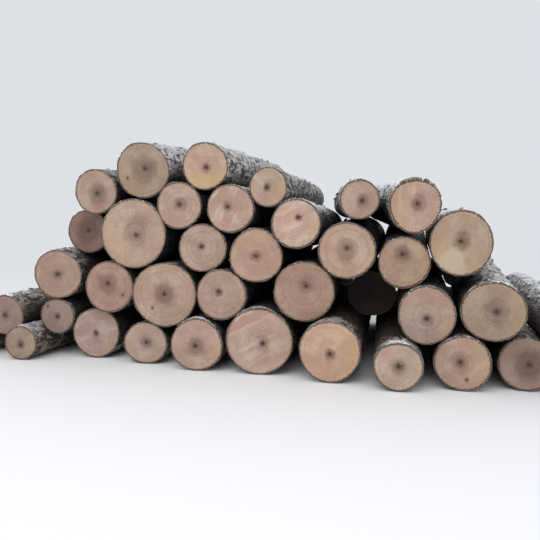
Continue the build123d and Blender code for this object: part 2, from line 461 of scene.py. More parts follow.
corners = []
triangles = []
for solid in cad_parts.values():
    first = len(corners)
    corners += [tuple(corner.co) for corner in solid.data.vertices]
    triangles += [[first + i for i in face.vertices] for face in solid.data.polygons]
for name in inner_sizes:
    around = np.linspace(0.0, 2.0 * math.pi, net_turns, endpoint=False)
    first = len(corners)
    for share in (0.0, 1.0):
        rim = stems[name].at(around, np.full(net_turns, share), stems[name].outline(around, share))
        corners += [tuple(point) for point in rim]
    for k in range(net_turns):
        after = (k + 1) % net_turns
        triangles.append([first + k, first + after, first + net_turns + after, first + net_turns + k])
    for rim_start in (first, first + net_turns):
        triangles.append(list(range(rim_start, rim_start + net_turns)))
heap_surface = BVHTree.FromPolygons(corners, triangles)


def crowd(steps):
    """Shares of the length from 0 to 1, closer together near both ends."""
    even = np.linspace(0.0, 1.0, steps)
    return (1.0 - net_crowding) * even + net_crowding * (1.0 - np.cos(math.pi * even)) / 2.0


def is_free(point, ray, reach=sky_reach):
    return heap_surface.ray_cast(Vector(point), ray, reach)[0] is None


def look_round(stem):
    """Shares of open sky and of open air over the bark, as nets of steps and turns."""
    turn = np.linspace(0.0, 2.0 * math.pi, net_turns, endpoint=False)
    sky = np.zeros((net_steps, net_turns))
    air = np.zeros((net_steps, net_turns))
    for row, share in enumerate(crowd(net_steps)):
        points = stem.at(turn, np.full(turn.shape, share), stem.outline(turn, share) + ray_start)
        for column, point in enumerate(points):
            outward = math.cos(turn[column]) * stem.right + math.sin(turn[column]) * stem.up
            along_bark = np.cross(stem.grain, outward)
            if outward[2] > 0.0:
                free = [is_free(point, ray) for ray in sky_rays]
                sky[row, column] = outward[2] * sum(free) / len(free)
            ways = [Vector(outward + a * along_bark + b * stem.grain).normalized() for a, b in air_rays]
            free = [is_free(point, way, air_reach) for way in ways]
            air[row, column] = sum(free) / len(free)
    return sky, air


air_nets = {name: look_round(stem) for name, stem in stems.items()}
print("stems under open sky:", sum(sky.max() > 0.8 for sky, air in air_nets.values()))

# %% [markdown]
# ## The log's mesh
#
# A log is one closed skin: a net of quads round the bark and rings of quads over each sawn face. The
# rings run from the pith to the bark, so a pattern on them is egg-shaped like real year rings.
# Every point carries its place in the log's own frame, in metres. Patterns read that, and so the
# grain follows the stem and no two logs look alike. The net is finer near both ends.

# %% Net of a log
round_steps = 128
long_steps = 66
face_rings = (0.12, 0.3, 0.5, 0.7, 0.86)
bark_thickness = 0.012
bark_room = 0.0035
pattern_spread = 3.7

turns = np.linspace(0.0, 2.0 * math.pi, round_steps, endpoint=False)
shares = crowd(long_steps + 1)


def ring_quads(inner, outer, count=round_steps):
    """Quads between two closed rings of points, given by their first indices."""
    step = np.arange(count)
    following = (step + 1) % count
    return np.column_stack((inner + step, outer + step, outer + following, inner + following)).tolist()


def log_faces():
    """Faces of the side, of the top face and of the butt face, in that order."""
    rows = [row * round_steps for row in range(long_steps + 1)]
    side = [quad for row, after in zip(rows, rows[1:]) for quad in ring_quads(row, after)]
    covers = []
    start = (long_steps + 1) * round_steps
    for rim in (rows[0], rows[-1]):
        rings = [start + k * round_steps for k in range(len(face_rings) + 2)] + [rim]
        middle = start + (len(face_rings) + 2) * round_steps
        step = np.arange(round_steps)
        following = (step + 1) % round_steps
        fan = np.column_stack((np.full(round_steps, middle), rings[0] + step, rings[0] + following))
        cover = fan.tolist() + [quad for a, b in zip(rings, rings[1:]) for quad in ring_quads(a, b)]
        covers.append(cover if rim == rows[0] else [face[::-1] for face in cover])
        start = middle + 1
    return side, covers[0], covers[1]


side_faces, top_faces, butt_faces = log_faces()
print("faces of one log:", len(side_faces) + len(top_faces) + len(butt_faces))


# %% Points of a log, and what each point knows
def log_points(stem, number):
    """Places of the points, and the values that the patterns read there."""
    pith = np.array(habit_of[stem.name].pith) * stem.radius[0]
    grid_turn, grid_share = [a.ravel() for a in np.meshgrid(turns, shares)]
    reach = stem.outline(grid_turn, grid_share) - bark_room
    around = stem.at(grid_turn, grid_share, reach)
    flat = np.column_stack((reach * np.cos(grid_turn), reach * np.sin(grid_turn))) - pith
    along = grid_share * stem.length
    places = [around]
    local = [np.column_stack((flat, along))]
    ring = [np.ones(len(grid_turn))]
    for end in (0, 1):
        rim = stem.outline(turns, float(end)) - bark_room
        rim = np.column_stack((rim * np.cos(turns), rim * np.sin(turns))) - pith
        wood = 1.0 - bark_thickness / stem.radius[end]
        for share in (*face_rings, wood, (1.0 + wood) / 2.0, 0.0):
            across = rim * share if share else np.zeros((1, 2))
            at = across + pith
            places.append(stem.ends[end] + np.outer(at[:, 0], stem.right) + np.outer(at[:, 1], stem.up))
            local.append(np.column_stack((across, np.full(len(across), end * stem.length))))
            ring.append(np.full(len(across), share))
    local = np.concatenate(local)
    local[:, 2] += number * pattern_spread
    return np.concatenate(places), local, np.concatenate(ring)


def spread_net(net):
    """The coarse net's values at every point of the bark."""
    closed = np.column_stack((net, net[:, :1]))
    coarse_turn = np.linspace(0.0, 2.0 * math.pi, net_turns + 1)
    rows = np.array([np.interp(turns, coarse_turn, row) for row in closed])
    return np.array([np.interp(shares, crowd(net_steps), column) for column in rows.T]).T.ravel()


def store(mesh, name, kind, values, field="value", domain="POINT"):
    """Writes one value for each point or face into the mesh."""
    mesh.attributes.new(name, kind, domain).data.foreach_set(field, np.asarray(values).ravel())


def net_log(stem, number):
    """The smooth log, before its relief."""
    places, local, ring = log_points(stem, number)
    mesh = bpy.data.meshes.new(stem.name)
    mesh.from_pydata(places.tolist(), [], side_faces + top_faces + butt_faces)
    side_count = (long_steps + 1) * round_steps
    outward = np.zeros_like(places)
    grid_turn = np.tile(turns, long_steps + 1)
    outward[:side_count] = stem.outward(grid_turn)
    sky, air = np.zeros(len(places)), np.ones(len(places))
    sky[:side_count], air[:side_count] = [spread_net(net) for net in air_nets[stem.name]]
    part = np.repeat((0, 1, 2), (len(side_faces), len(top_faces), len(butt_faces)))
    store(mesh, "stem", "FLOAT_VECTOR", local, "vector")
    store(mesh, "outward", "FLOAT_VECTOR", outward, "vector")
    store(mesh, "ring", "FLOAT", ring)
    store(mesh, "sky", "FLOAT", sky)
    store(mesh, "air", "FLOAT", air)
    store(mesh, "part", "INT", part.astype(np.int32), domain="FACE")
    mesh.shade_smooth()
    return mesh


print("points of one log:", (long_steps + 1) * round_steps + 2 * (len(face_rings) + 2) * round_steps + 2)

# %% [markdown]
# ## Bark relief
#
# Birch bark has long shallow flutes, rough plates near old branch scars and a torn edge at the saw
# cut. This is a rule over a surface, which Geometry Nodes say best: the tree moves each point along
# its outward direction by a few noises of the log's own place, then lets snow grow upwards where
# the sky is open. It ends by giving the bark and both sawn faces their finishes. One tree serves all
# the logs, and its named inputs say what is different on each.

# %% Geometry Nodes tree of the relief
top_room = 0.0005
ground_room = 0.0002
relief_sizes = {
    "Flute depth": 0.0022,
    "Plate depth": 0.0060,
    "Snow": 0.33,
    "Snow depth": 0.006,
    "Ceiling": cad_box[1][2] - top_room,
}
relief_finishes = ("Bark", "Top face", "Butt face")


def named_value(graph, label, kind="FLOAT"):
    return graph.node("GeometryNodeInputNamedAttribute", {"data_type": kind}, {"Name": label})


def open_tree(name, sizes, finishes):
    """A tree with its inputs: the graph, the given geometry, the fields and the identifiers."""
    tree = bpy.data.node_groups.new(name, "GeometryNodeTree")
    tree.interface.new_socket(name="Shape", in_out="INPUT", socket_type="NodeSocketGeometry")
    kinds = dict.fromkeys(sizes, "NodeSocketFloat") | dict.fromkeys(finishes, "NodeSocketMaterial")
    identifiers = {}
    for label, kind in kinds.items():
        item = tree.interface.new_socket(name=label, in_out="INPUT", socket_type=kind)
        identifiers[label] = item.identifier
        if label in sizes:
            item.default_value = sizes[label]
    tree.interface.new_socket(name="Shape", in_out="OUTPUT", socket_type="NodeSocketGeometry")
    graph = Graph(tree)
    given = tree.nodes.new("NodeGroupInput")
    fields = {label: Field(graph, given.outputs[label]) for label in ("Shape", *kinds)}
    return graph, fields, identifiers


def close_tree(graph, shape):
    result = graph.tree.nodes.new("NodeGroupOutput")
    graph.feed(result.inputs["Shape"], shape)
    return graph.tree


def relief_tree():
    graph, given, identifiers = open_tree("log_relief", relief_sizes, relief_finishes)
    place = named_value(graph, "stem", "FLOAT_VECTOR")
    outward = named_value(graph, "outward", "FLOAT_VECTOR")
    flutes = graph.noise(graph.stretch(place, (1.0, 1.0, 0.2)), 14.0, 2.0) - 0.5
    plates = graph.noise(graph.stretch(place, (1.0, 1.0, 0.7)), 34.0, 3.0, 0.65) - 0.5
    rough = graph.ease(graph.noise(graph.stretch(place, (1.0, 1.0, 0.7)), 13.0, 5.0, 0.65), 0.45, 0.6)
    lift = flutes * given["Flute depth"] * 5.0 + plates * (rough + 0.3) * given["Plate depth"] * 4.0
    lift = (lift - rough * 0.001).smaller(bark_room)
    drift = graph.noise(place, 8.0, 3.0, 0.6) * 0.6 + graph.noise(place, 36.0, 3.0, 0.6) * 0.4
    pile = graph.ease(named_value(graph, "sky") * given["Snow"] * 2.0 + drift, 0.98, 1.24)
    spot = graph.node("GeometryNodeInputPosition", {}, {})
    x, y, height = graph.split(spot)
    room = (given["Ceiling"] - height - lift).larger(0.0)
    rise = (pile * given["Snow depth"]).smaller(room)
    rise = rise.larger(ground_room - height - graph.split(outward)[2] * lift)
    bark_move = graph.node("ShaderNodeVectorMath", {"operation": "SCALE"}, {0: outward, "Scale": lift})
    snow_move = graph.join(0.0, 0.0, rise)
    move = graph.node("ShaderNodeVectorMath", {"operation": "ADD"}, {0: bark_move, 1: snow_move})
    log = graph.node("GeometryNodeStoreNamedAttribute", {"data_type": "FLOAT", "domain": "POINT"},
                     {"Geometry": given["Shape"], "Name": "snow", "Value": pile})
    log = graph.node("GeometryNodeSetPosition", {}, {"Geometry": log, "Offset": move})
    log = graph.node("GeometryNodeRealizeInstances", {}, {"Geometry": log})
    log = graph.node("GeometryNodeSetMaterial", {}, {"Geometry": log, "Material": given["Bark"]})
    part = named_value(graph, "part", "INT")
    same = {"data_type": "INT", "operation": "EQUAL"}
    for number, label in ((1, "Top face"), (2, "Butt face")):
        chosen = graph.node("FunctionNodeCompare", same, {2: part, 3: number})
        inputs = {"Geometry": log, "Selection": chosen, "Material": given[label]}
        log = graph.node("GeometryNodeSetMaterial", {}, inputs)
    return close_tree(graph, log), identifiers


relief, relief_keys = relief_tree()
print("the relief has the named inputs:", ", ".join(relief_keys))

# %% [markdown]
# ## Sawn wood
#
# A fresh birch face is pinkish tan and nearly plain. It darkens to a soft grey-brown heart with a
# small dark pith, and shows faint year rings, fine rays, saw marks and a few short checks. Round it
# runs a thin ragged dark line of inner bark with a paler outer skin, often with grains of snow. All
# of it is worked out from the distance to the pith and the place on the face.

# %% Colours of wood
sapwood = (0.325, 0.225, 0.178)
pale_wood = (0.430, 0.325, 0.262)
warm_wood = (0.265, 0.165, 0.120)
pink_wood = (0.355, 0.195, 0.162)
streak_wood = (0.53, 0.42, 0.35)
gold_wood = (0.42, 0.285, 0.150)
heart_brown = (0.155, 0.091, 0.062)
pith_brown = (0.052, 0.031, 0.024)
inner_bark = (0.060, 0.036, 0.025)
outer_skin = (0.25, 0.215, 0.185)
frost_white = (0.72, 0.74, 0.77)
wood_roughness = 0.82
wood_lift = 0.0014


def toned(colour, tone):
    return tuple(level * factor for level, factor in zip(colour, tone))


print("plain sapwood is", sapwood)


# %% Parts of a sawn face
class SawnFace(Finish):
    """The finish of one sawn face, with the distances that its patterns share."""

    def __init__(self, stem, end, dice):
        super().__init__(f"sawn_{stem.name}_{'butt' if end else 'top'}")
        self.habit = habit_of[stem.name]
        self.radius = stem.radius[end]
        self.ring = self.attribute("ring")
        x, y, z = self.split(self.attribute("stem", "Vector"))
        self.x, self.y = x, y
        self.flat = self.join(x, y, 0.37 * dice.integers(1, 90))
        self.reach = (x * x + y * y) ** 0.5
        self.grit = self.noise(self.flat, 170.0, 4.0, 0.65)
        direction = self.node("ShaderNodeVectorMath", {"operation": "NORMALIZE"}, {0: self.join(x, y, 0.0)})
        self.way = self.split(direction)[:2]

    def spokes(self, count, drift):
        """Noise that changes round the pith and hardly outwards."""
        dx, dy = self.way
        return self.noise(self.join(dx * count, dy * count, self.ring * drift), 1.0, 3.0, 0.6)

    def along(self, degrees):
        """Distance from the pith in one direction of the face."""
        angle = math.radians(degrees)
        return self.x * math.cos(angle) + self.y * math.sin(angle)

    def knot(self, colour, right, up):
        """A brown knot with a darker rim of old bark."""
        pith = self.habit.pith
        dx = self.x - (right - pith[0]) * self.radius
        dy = self.y - (up - pith[1]) * self.radius
        gap = (dx * dx * 1.6 + dy * dy) ** 0.5 + (self.grit - 0.5) * 0.010
        colour = self.mix((1.0 - self.ease(gap, 0.012, 0.034)) * 0.5, colour, heart_brown)
        return self.mix((1.0 - self.ease(gap, 0.007, 0.013)) * 0.9, colour, pith_brown)


print("sawn faces share the distance to the pith and the direction round it")


# %% Finish of a sawn face
def sawn_face(stem, end, dice):
    face = SawnFace(stem, end, dice)
    habit, radius = face.habit, face.radius
    if end and habit.butt_tone:
        habit = replace(habit, tone=habit.butt_tone)
    cloud = face.noise(face.flat, 7.0, 5.0, 0.68)
    blush = face.noise(face.flat, 3.5 + dice.uniform(0.0, 2.0), 3.0, 0.5, 0.6)
    wobble = (face.noise(face.flat, 9.0, 2.0) - 0.5) * 0.014
    years = face.bands((face.ring * radius + wobble) * 230.0, 3.0, 0.6)
    broad_years = face.bands((face.ring * radius + wobble * 1.5) * 48.0 + dice.uniform(0.0, 50.0), 2.0)
    rays = face.spokes(24.0, 1.4)
    saw = dice.uniform(0.0, 180.0)
    marks = face.bands((face.along(saw) + face.x * face.x * 0.6) * 150.0, 2.0)

    colour = face.mix(face.ease(cloud, 0.36, 0.64), toned(sapwood, habit.tone), toned(pale_wood, habit.tone))
    colour = face.mix(face.ease(blush, 0.45, 0.68) * 0.7, colour, toned(pink_wood, habit.tone))
    glow = face.ease(face.ring * 0.6 + face.spokes(1.6, 0.6), 0.95, 1.25)
    colour = face.mix(glow * 0.55, colour, toned(gold_wood, habit.tone))
    colour = face.mix(face.ease(broad_years, 0.45, 0.72) * 0.36, colour, toned(warm_wood, habit.tone))
    colour = face.mix(face.ease(years, 0.48, 0.72) * 0.45, colour, toned(warm_wood, habit.tone))
    colour = face.mix(face.ease(rays, 0.5, 0.72) * 0.5, colour, toned(warm_wood, habit.tone))
    colour = face.mix(face.ease(marks, 0.52, 0.7) * 0.4, colour, toned(pale_wood, habit.tone))
    if habit.gold[1]:
        toward = face.along(habit.gold[0]) + (cloud - 0.5) * radius * 0.6
        side = face.ease(toward, -0.1 * radius, 0.7 * radius)
        colour = face.mix(side * habit.gold[1], colour, toned(gold_wood, habit.tone))
    if habit.streaks[1]:
        sway = (blush - 0.5) * 0.30 + (cloud - 0.5) * 0.22
        across = face.along(habit.streaks[0] + 90.0) + sway * radius
        bands = face.bands(across * 15.0 + dice.uniform(0.0, 50.0), 3.0, 0.6)
        faint = face.ease(face.noise(face.flat, 5.0, 3.0), 0.36, 0.62) * habit.streaks[1]
        colour = face.mix(face.ease(bands, 0.42, 0.80) * faint, colour, toned(streak_wood, habit.tone))
        pinker = face.ease(0.5 - bands, 0.02, 0.16) * faint * 0.6
        colour = face.mix(pinker, colour, toned(pink_wood, habit.tone))
    if habit.wedge:
        degrees, half, strength = habit.wedge
        facing = face.along(degrees) / (face.reach + 0.001) + (cloud - 0.5) * 0.30 + (blush - 0.5) * 0.20
        inside = face.ease(facing, math.cos(math.radians(half + 14)), math.cos(math.radians(half - 6)))
        inside = inside * face.ease(face.reach, 0.02, 0.09) * strength
        colour = face.mix(inside, colour, toned(streak_wood, habit.tone))

    dx = face.x - habit.heart_shift[0] * radius
    dy = face.y - habit.heart_shift[1] * radius
    heart_reach = (dx * dx + dy * dy * 0.8) ** 0.5 + (cloud - 0.5) * radius * 0.35
    heart_reach = heart_reach + (rays - 0.5) * radius * 0.2
    size, strength = habit.heart
    heart = 1.0 - face.ease(heart_reach, size * radius * 0.5, size * radius * 1.2)
    colour = face.mix(heart * strength * (0.65 + broad_years * 0.6), colour, toned(heart_brown, habit.tone))
    lump = face.noise(face.flat, 30.0, 3.0, 0.65)
    blot = face.reach * (0.15 + lump * 1.6) + (face.grit - 0.5) * 0.012
    near_pith = 1.0 - face.ease(blot, 0.013, 0.028 + size * 0.03)
    colour = face.mix(near_pith * 0.6, colour, toned(heart_brown, habit.tone))
    pith = 1.0 - face.ease(blot, 0.009, 0.016)
    colour = face.mix(pith * 0.85, colour, pith_brown)

    star = face.spokes(2.6, 0.15)
    split_width = (star - 0.5).size() * face.reach * 60.0 + (lump - 0.5) * 0.06
    short = face.reach + (cloud - 0.5) * radius * 0.4
    cracks = 1.0 - face.ease(split_width, 0.02, 0.06)
    cracks = cracks * (1.0 - face.ease(short, 0.05 * radius, 0.24 * radius))
    colour = face.mix(cracks * habit.star, colour, pith_brown)
    for degrees, share in habit.check:
        side = (face.along(degrees + 90.0) + (face.bands(face.reach * 30.0, 2.0) - 0.5) * 0.02).size()
        along = face.along(degrees)
        line = (1.0 - face.ease(side, 0.0006, 0.0026)) * face.ease(along, 0.0, 0.01)
        line = line * (1.0 - face.ease(along, 0.6 * share * radius, share * radius))
        colour = face.mix(line * 0.45, colour, pith_brown)
    for right, up in habit.knots if end == 0 else ():
        colour = face.knot(colour, right, up)
    colour = face.mix(face.ease(face.grit, 0.56, 0.78) * 0.28, colour, toned(heart_brown, habit.tone))

    edge = 1.0 - bark_thickness / radius
    ragged = (face.spokes(9.0, 0.0) - 0.5) * (0.026 / radius) + (face.grit - 0.5) * (0.010 / radius)
    depth = face.ring + ragged
    colour = face.mix(face.ease(depth, edge - 0.045, edge) * 0.55, colour, toned(warm_wood, habit.tone))
    colour = face.mix(face.ease(depth, edge + 0.002, edge + 0.014), colour, inner_bark)
    skin = face.ease(depth + (face.grit - 0.5) * 0.08, 1.0 - 0.005 / radius, 1.0)
    colour = face.mix(skin * 0.8, colour, outer_skin)
    grains = face.ease(face.noise(face.flat, 95.0, 3.0, 0.6), 0.60, 0.66)
    upper = face.ease(face.y, 0.1 * radius, 0.8 * radius)
    grains = grains * upper * face.ease(depth, edge - 0.06, edge) * min(1.0, habit.snow * 2.2)
    colour = face.mix(grains, colour, frost_white)
    height = years * 0.25 + marks * 0.5 + face.grit * 0.45 + rays * 0.2 - pith * 0.5 - cracks * 0.8
    return face.surface(colour, wood_roughness, height, wood_lift)


print("sawn wood finish is ready")

# %% [markdown]
# ## Bark
#
# Birch bark is a pale papery skin with short dark breathing pores across the stem, broken by black
# rough patches, greenish lichen and brown places where the skin has peeled. The pores are noise
# stretched round the stem, and the patches are noise stretched along it. Frost whitens what looks
# at the sky, and bark in the middle of the heap, where the air is closed in, is painted almost black
# as shade.


# %% Kinds of bark
@dataclass
class Bark:
    """Colours of one kind of bark, and how much of it is black, brown, green or frosted."""

    paper: tuple
    ground: tuple
    black: float
    brown: float
    lichen: float
    frost: float


bark_kinds = {
    "white": Bark((0.62, 0.60, 0.57), (0.36, 0.33, 0.30), 0.60, 0.60, 0.25, 0.65),
    "speckled": Bark((0.50, 0.50, 0.47), (0.27, 0.26, 0.235), 0.95, 0.50, 0.60, 0.5),
    "grey": Bark((0.42, 0.39, 0.36), (0.22, 0.19, 0.17), 0.80, 0.70, 0.35, 0.5),
    "olive": Bark((0.29, 0.255, 0.18), (0.17, 0.14, 0.10), 0.60, 0.65, 0.80, 0.25),
    "brown": Bark((0.32, 0.26, 0.215), (0.165, 0.12, 0.092), 0.90, 0.85, 0.30, 0.55),
    # Painted shade: near-black bark for the pieces that lie in the dark inside the heap
    "damp": Bark((0.05, 0.045, 0.04), (0.04, 0.03, 0.025), 0.90, 0.30, 0.0, 0.0),
}
peeled_brown = (0.20, 0.125, 0.085)
bark_black = (0.028, 0.024, 0.021)
# Painted shade: the near-black colour given to bark where the air round it is closed in
painted_shade_colour = (0.030, 0.024, 0.021)
lichen_green = (0.19, 0.215, 0.145)
snow_white = (0.74, 0.755, 0.78)
bark_frost = (0.57, 0.575, 0.585)
# Range of open air over which the painted shade fades out
painted_shade_air_range = (0.10, 0.45)
bark_lift = 0.004
print("kinds of bark:", ", ".join(bark_kinds))


# %% Finish of the bark
def birch_bark(name, kind):
    finish = Finish(name)
    place = finish.attribute("stem", "Vector")
    broad = finish.noise(finish.stretch(place, (1.0, 1.0, 0.5)), 4.5, 4.0, 0.6)
    patches = finish.noise(finish.stretch(place, (1.0, 1.0, 0.7)), 13.0, 5.0, 0.65)
    speckle = finish.noise(finish.stretch(place, (1.0, 1.0, 0.4)), 24.0, 5.0, 0.75)
    crust = finish.noise(finish.stretch(place, (1.0, 1.0, 0.5)), 31.0, 5.0, 0.75)
    pores = finish.noise(finish.stretch(place, (1.0, 1.0, 12.0)), 12.0, 3.0, 0.55)
    fissures = finish.noise(finish.stretch(place, (1.0, 1.0, 0.25)), 42.0, 4.0, 0.65)
    grit = finish.noise(place, 240.0, 3.0, 0.7)
    colour = finish.mix(finish.ease(broad + (speckle - 0.5) * 1.1, 0.42, 0.58), kind.paper, kind.ground)
    peeled = finish.ease(broad * 0.4 + crust * 0.6, 0.57 - 0.10 * kind.brown, 0.60 - 0.08 * kind.brown)
    colour = finish.mix(peeled * 0.8, colour, peeled_brown)
    lichen = finish.ease(finish.noise(place, 15.0, 5.0, 0.7), 0.62 - 0.10 * kind.lichen, 0.66)
    colour = finish.mix(lichen * 0.8, colour, lichen_green)
    pore = finish.ease(pores + (grit - 0.5) * 0.1, 0.59, 0.64)
    colour = finish.mix(pore * 0.85, colour, bark_black)
    rough = patches * 0.5 + 0.25 + (speckle - 0.5) * 1.5 + (fissures - 0.5) * 0.6
    rough = finish.ease(rough, 0.60 - 0.12 * kind.black, 0.64 - 0.12 * kind.black)
    colour = finish.mix(rough * 0.92, colour, bark_black)
    sky = finish.attribute("sky")
    frost = finish.ease(sky * 0.5 + (crust - 0.5) * 2.6 - rough * 0.15, 0.16, 0.36)
    colour = finish.mix(frost * kind.frost, colour, bark_frost)
    # Painted shade: bark is darkened nearly to black where the open air round it is closed in
    damp = 1.0 - finish.ease(finish.attribute("air") + (broad - 0.5) * 0.3, *painted_shade_air_range)
    colour = finish.mix(damp * 0.88, colour, painted_shade_colour)
    snow = finish.attribute("snow")
    cover = finish.ease(snow + (crust - 0.5) * 3.0 + (speckle - 0.5) * 1.6 + (grit - 0.5) * 0.4, 0.62, 0.76)
    colour = finish.mix(cover, colour, snow_white)
    roughness = 0.62 + rough * 0.25
    height = speckle * 0.6 - rough * 0.6 - pore * 0.25 + grit * 0.35
    return finish.surface(colour, roughness, height * (1.0 - cover * 0.8), bark_lift)


barks = {name: birch_bark(f"bark_{name}", kind) for name, kind in bark_kinds.items()}
print("bark finishes made:", len(barks))

# %% [markdown]
# ## Dressing every stem
#
# Each stem gets its own mesh, relief and faces, and then stands in for its solid. The modifier is
# applied to a plain mesh first, because the dressed log has to be an ordinary object.


# %% Dress the stems
def bake(thing):
    """The object with its modifier's result as a plain mesh."""
    seen = thing.evaluated_get(bpy.context.evaluated_depsgraph_get())
    mesh = bpy.data.meshes.new_from_object(seen)
    thing.modifiers.clear()
    thing.data = mesh


def run_tree(thing, tree, keys, values):
    """Adds a tree to the object, sets its named inputs and applies it."""
    modifier = thing.modifiers.new(tree.name, "NODES")
    modifier.node_group = tree
    for label, value in values.items():
        modifier[keys[label]] = value
    bake(thing)


def dress(stem, number):
    dice = np.random.default_rng(number)
    habit = habit_of[stem.name]
    log = bpy.data.objects.new(f"{stem.name}_dressed", net_log(stem, number))
    bpy.context.scene.collection.objects.link(log)
    run_tree(log, relief, relief_keys, {
        "Snow": habit.snow,
        "Snow depth": habit.snow_depth,
        "Bark": barks[habit.bark],
        "Top face": sawn_face(stem, 0, dice),
        "Butt face": sawn_face(stem, 1, dice),
    })
    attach(log, "root")
    if stem.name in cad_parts:
        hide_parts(stem.name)
    return log


logs = [dress(stem, number) for number, stem in enumerate(stems.values(), 1)]
print("triangles in the heap:", sum(len(face.vertices) - 2 for log in logs for face in log.data.polygons))

# %% [markdown]
# ## Curls of bark and crumbs of snow
#
# Birch skin peels: small strips stand off the stem and roll up round an axis along it. Crumbs of
# snow, mixed with dark litter, lie on what faces the sky. Both are small shapes repeated over a
# surface, so Geometry Nodes scatter them on one coarse skin of the whole heap, with a fixed seed.
# They keep away from the sides of the heap's box, because nothing may stand out of it.

# %% A coarse skin round the bark
skin_depth = 0.005
box_room = 0.08
end_room = 0.04


def heap_skin():
    """One net over the bark of all the stems that have solids, with what the scattering reads."""
    turn = np.linspace(0.0, 2.0 * math.pi, net_turns, endpoint=False)
    grid_turn, grid_share = [a.ravel() for a in np.meshgrid(turn, crowd(net_steps))]
    places, quads = [], []
    known = {label: [] for label in ("outward", "grain", "sky", "air", "snow")}
    for number, name in enumerate(sorted(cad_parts)):
        stem = stems[name]
        places.append(stem.at(grid_turn, grid_share, stem.outline(grid_turn, grid_share) - skin_depth))
        first = number * len(grid_turn)
        rows = [first + row * net_turns for row in range(net_steps)]
        quads += [quad for row, after in zip(rows, rows[1:]) for quad in ring_quads(row, after, net_turns)]
        known["outward"].append(stem.outward(grid_turn))
        known["grain"].append(np.tile(stem.grain, (len(grid_turn), 1)))
        sky, air = air_nets[name]
        known["sky"].append(sky.ravel())
        known["air"].append(air.ravel())
        known["snow"].append(sky.ravel() * habit_of[name].snow)
    places = np.concatenate(places)
    low, high = np.array(cad_box[0]) + box_room, np.array(cad_box[1]) - box_room
    skin = bpy.data.meshes.new("heap_skin")
    skin.from_pydata(places.tolist(), [], quads)
    for label, values in known.items():
        kind, field = ("FLOAT_VECTOR", "vector") if label in ("outward", "grain") else ("FLOAT", "value")
        store(skin, label, kind, np.concatenate(values), field)
    inside = np.all((places > low) & (places < high), axis=1)
    inside &= np.tile(np.abs(grid_share - 0.5) < 0.5 - end_room, len(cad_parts))
    store(skin, "room", "FLOAT", inside.astype(float))
    return skin


skin = heap_skin()
print("quads of the coarse skin:", len(skin.polygons))


# %% Trees that scatter curls and crumbs
def chance(graph, low, high, seed):
    """A random number for each point."""
    return graph.node("FunctionNodeRandomValue", {"data_type": "FLOAT"}, {2: low, 3: high, 8: seed}, 1)


def keep(graph, shape, label, value):
    return graph.node("GeometryNodeStoreNamedAttribute", {"data_type": "FLOAT", "domain": "POINT"},
                      {"Geometry": shape, "Name": label, "Value": value})


def scatter(graph, given, density, seed):
    """Points over the skin, each with a shade of its own."""
    inputs = {"Mesh": given["Shape"], "Density": density * named_value(graph, "room"), "Seed": seed}
    points = graph.node("GeometryNodeDistributePointsOnFaces", {"distribute_method": "RANDOM"}, inputs)
    return keep(graph, points, "shade", chance(graph, 0.0, 1.0, seed + 1))


def finish_tree(graph, points, shape, rotation, scale, finish):
    inputs = {"Points": points, "Instance": shape, "Rotation": rotation, "Scale": scale}
    copies = graph.node("GeometryNodeInstanceOnPoints", {}, inputs)
    copies = graph.node("GeometryNodeRealizeInstances", {}, {"Geometry": copies})
    copies = graph.node("GeometryNodeSetMaterial", {}, {"Geometry": copies, "Material": finish})
    return close_tree(graph, copies)


def turned(graph, tilt, way_out, grain):
    """A rotation with Z along the way out of the bark, Y along the grain, and then a tilt."""
    turn = graph.node("FunctionNodeAlignRotationToVector", {"axis": "Z"}, {"Vector": way_out})
    settings = {"axis": "Y", "pivot_axis": "Z"}
    turn = graph.node("FunctionNodeAlignRotationToVector", settings, {"Rotation": turn, "Vector": grain})
    tilt = graph.node("FunctionNodeEulerToRotation", {}, {"Euler": graph.join(*tilt)})
    inputs = {"Rotation": turn, "Rotate By": tilt}
    return graph.node("FunctionNodeRotateRotation", {"rotation_space": "LOCAL"}, inputs)


curl_seed = 11
weld_gap = 0.0001
curl_sizes = {
    "Curls": 40.0,
    "Curl length": 0.050,
    "Curl width": 0.055,
    "Curl radius": 0.090,
    "Thickness": 0.0012,
}


